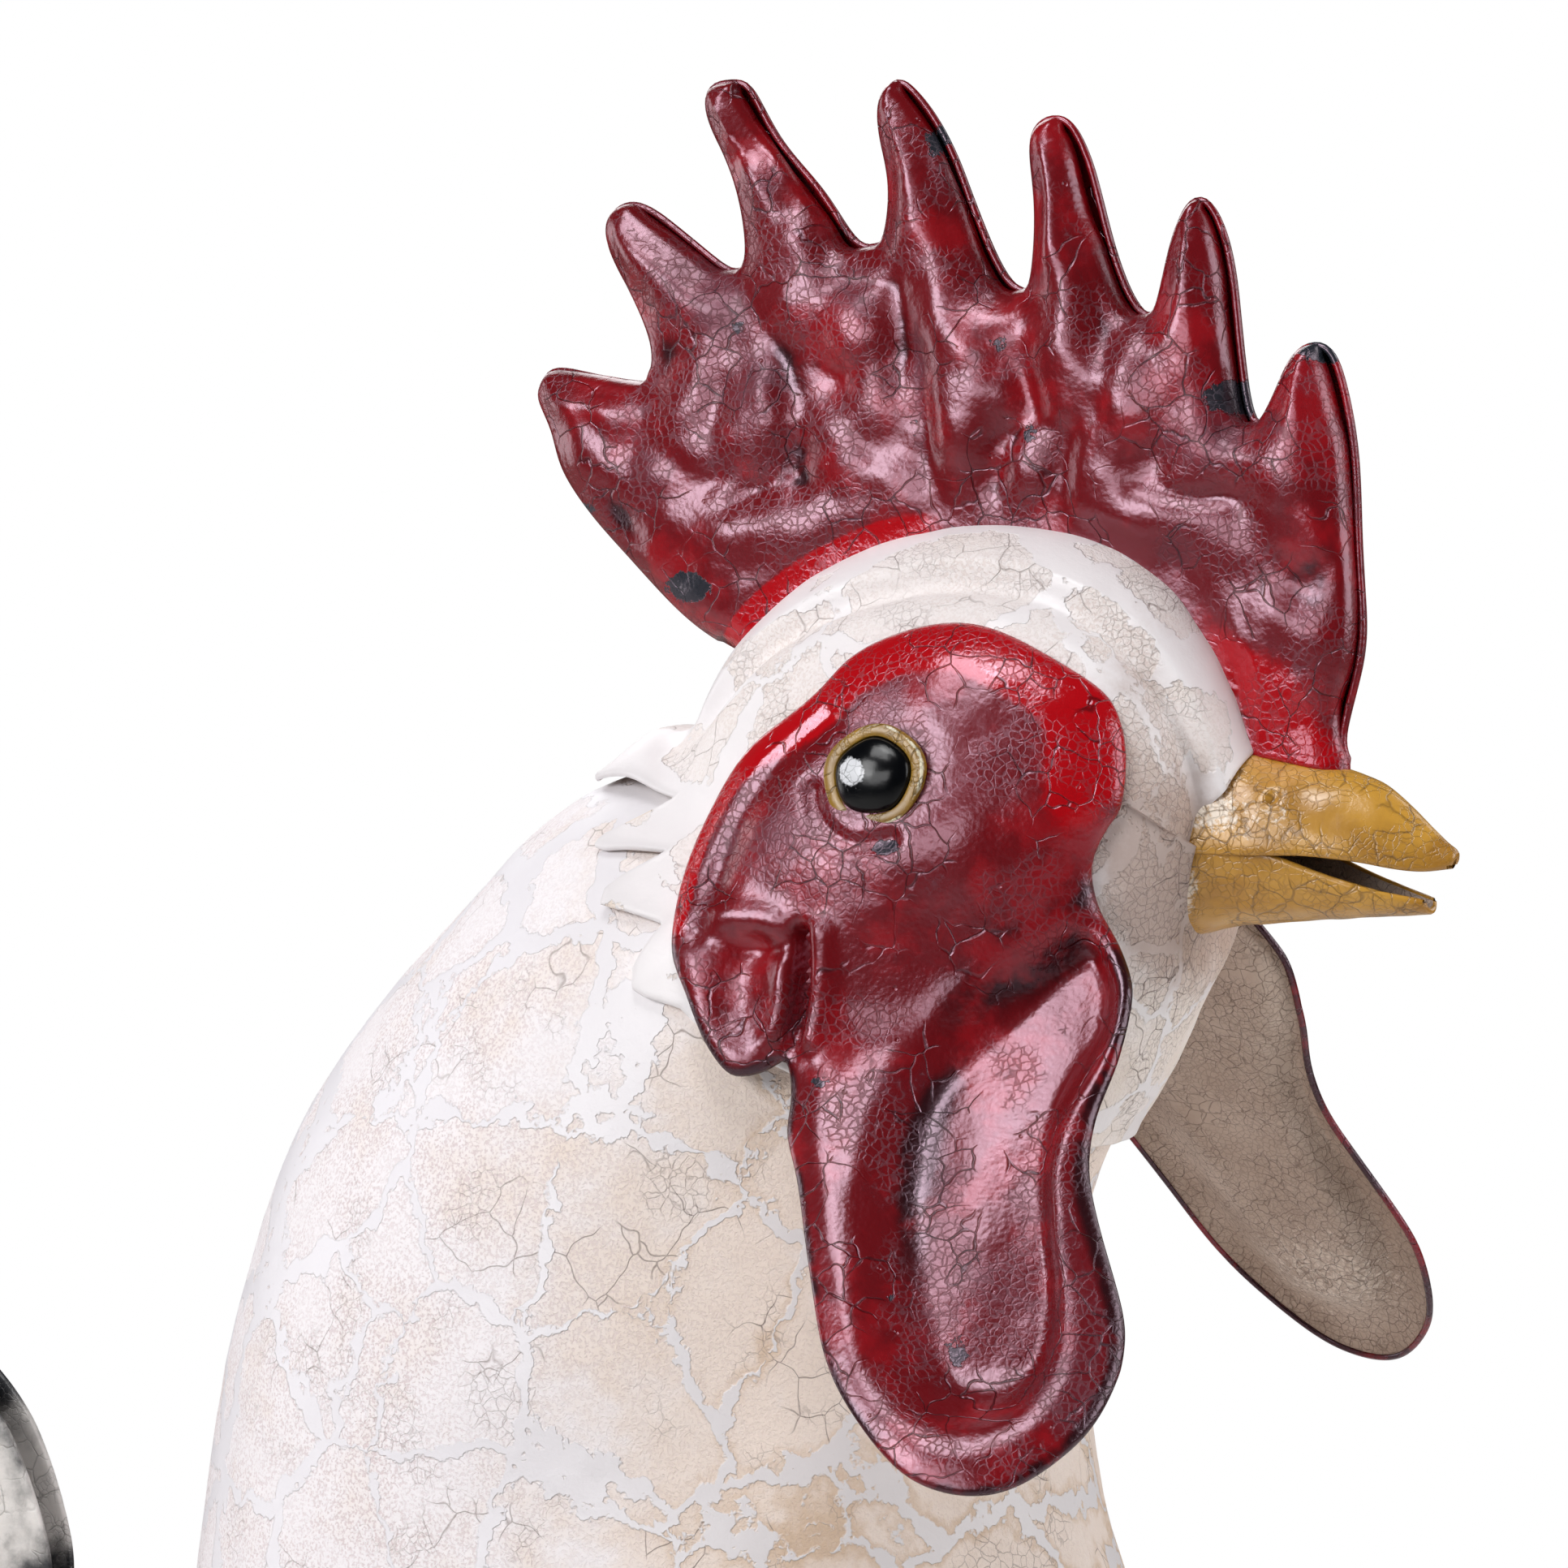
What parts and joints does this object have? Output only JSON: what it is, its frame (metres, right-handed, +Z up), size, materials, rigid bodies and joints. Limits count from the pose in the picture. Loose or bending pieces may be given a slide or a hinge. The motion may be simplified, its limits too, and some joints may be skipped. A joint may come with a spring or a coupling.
{
  "type": "rooster garden sculpture",
  "caption": "Standing rooster for the garden, made of pressed and painted sheet iron shells, with a pointed comb, face plates with wattles and sickle tail feathers on two rod legs.",
  "frame": {"origin": "on the ground, in the middle of the box round the whole bird", "axes": "+Z up, +X along the beak, +Y to the bird's left"},
  "size_m": [0.5044, 0.1864, 0.76],
  "materials": {
    "crimson_lacquer": "gloss, crackled",
    "cream_paint": "satin, crackled",
    "white_paint": "satin, crackled",
    "beak_ochre": "gloss, crackled",
    "eye_black": "high gloss",
    "tail_paint": "satin, brushed black over white",
    "leg_ochre": "satin",
    "bare_sheet": "matt primer"
  },
  "bodies": {
    "root": {"head_shell_right": "cream_paint", "head_shell_left": "cream_paint", "neck_cape_right": "white_paint", "neck_cape_left": "white_paint", "body_shell_right": "white_paint", "body_shell_left": "white_paint", "comb_right": "crimson_lacquer", "comb_left": "crimson_lacquer", "face_plate_right": "crimson_lacquer", "face_plate_left": "crimson_lacquer", "eye_right": "eye_black", "eye_left": "eye_black", "upper_beak": "beak_ochre", "lower_beak": "beak_ochre", "wing_shield_right": "white_paint", "wing_shield_left": "white_paint", "flight_feather_right_1": "white_paint", "flight_feather_right_2": "white_paint", "flight_feather_right_3": "white_paint", "flight_feather_right_4": "white_paint", "flight_feather_right_5": "white_paint", "flight_feather_left_1": "white_paint", "flight_feather_left_2": "white_paint", "flight_feather_left_3": "white_paint", "flight_feather_left_4": "white_paint", "flight_feather_left_5": "white_paint", "tail_cap": "white_paint", "tail_centre_feather": "tail_paint", "tail_covert_right": "tail_paint", "tail_covert_left": "tail_paint", "main_sickle_right": "tail_paint", "main_sickle_left": "tail_paint", "second_sickle_right": "tail_paint", "second_sickle_left": "tail_paint", "third_sickle_right": "tail_paint", "third_sickle_left": "tail_paint", "low_sickle_right": "tail_paint", "low_sickle_left": "tail_paint", "thigh_right": "white_paint", "thigh_left": "white_paint", "leg_rod_right": "leg_ochre", "leg_rod_left": "leg_ochre", "leg_brace": "bare_sheet", "spur_right": "leg_ochre", "spur_left": "leg_ochre", "foot_right": "leg_ochre", "foot_left": "leg_ochre"}
  },
  "joints": []
}
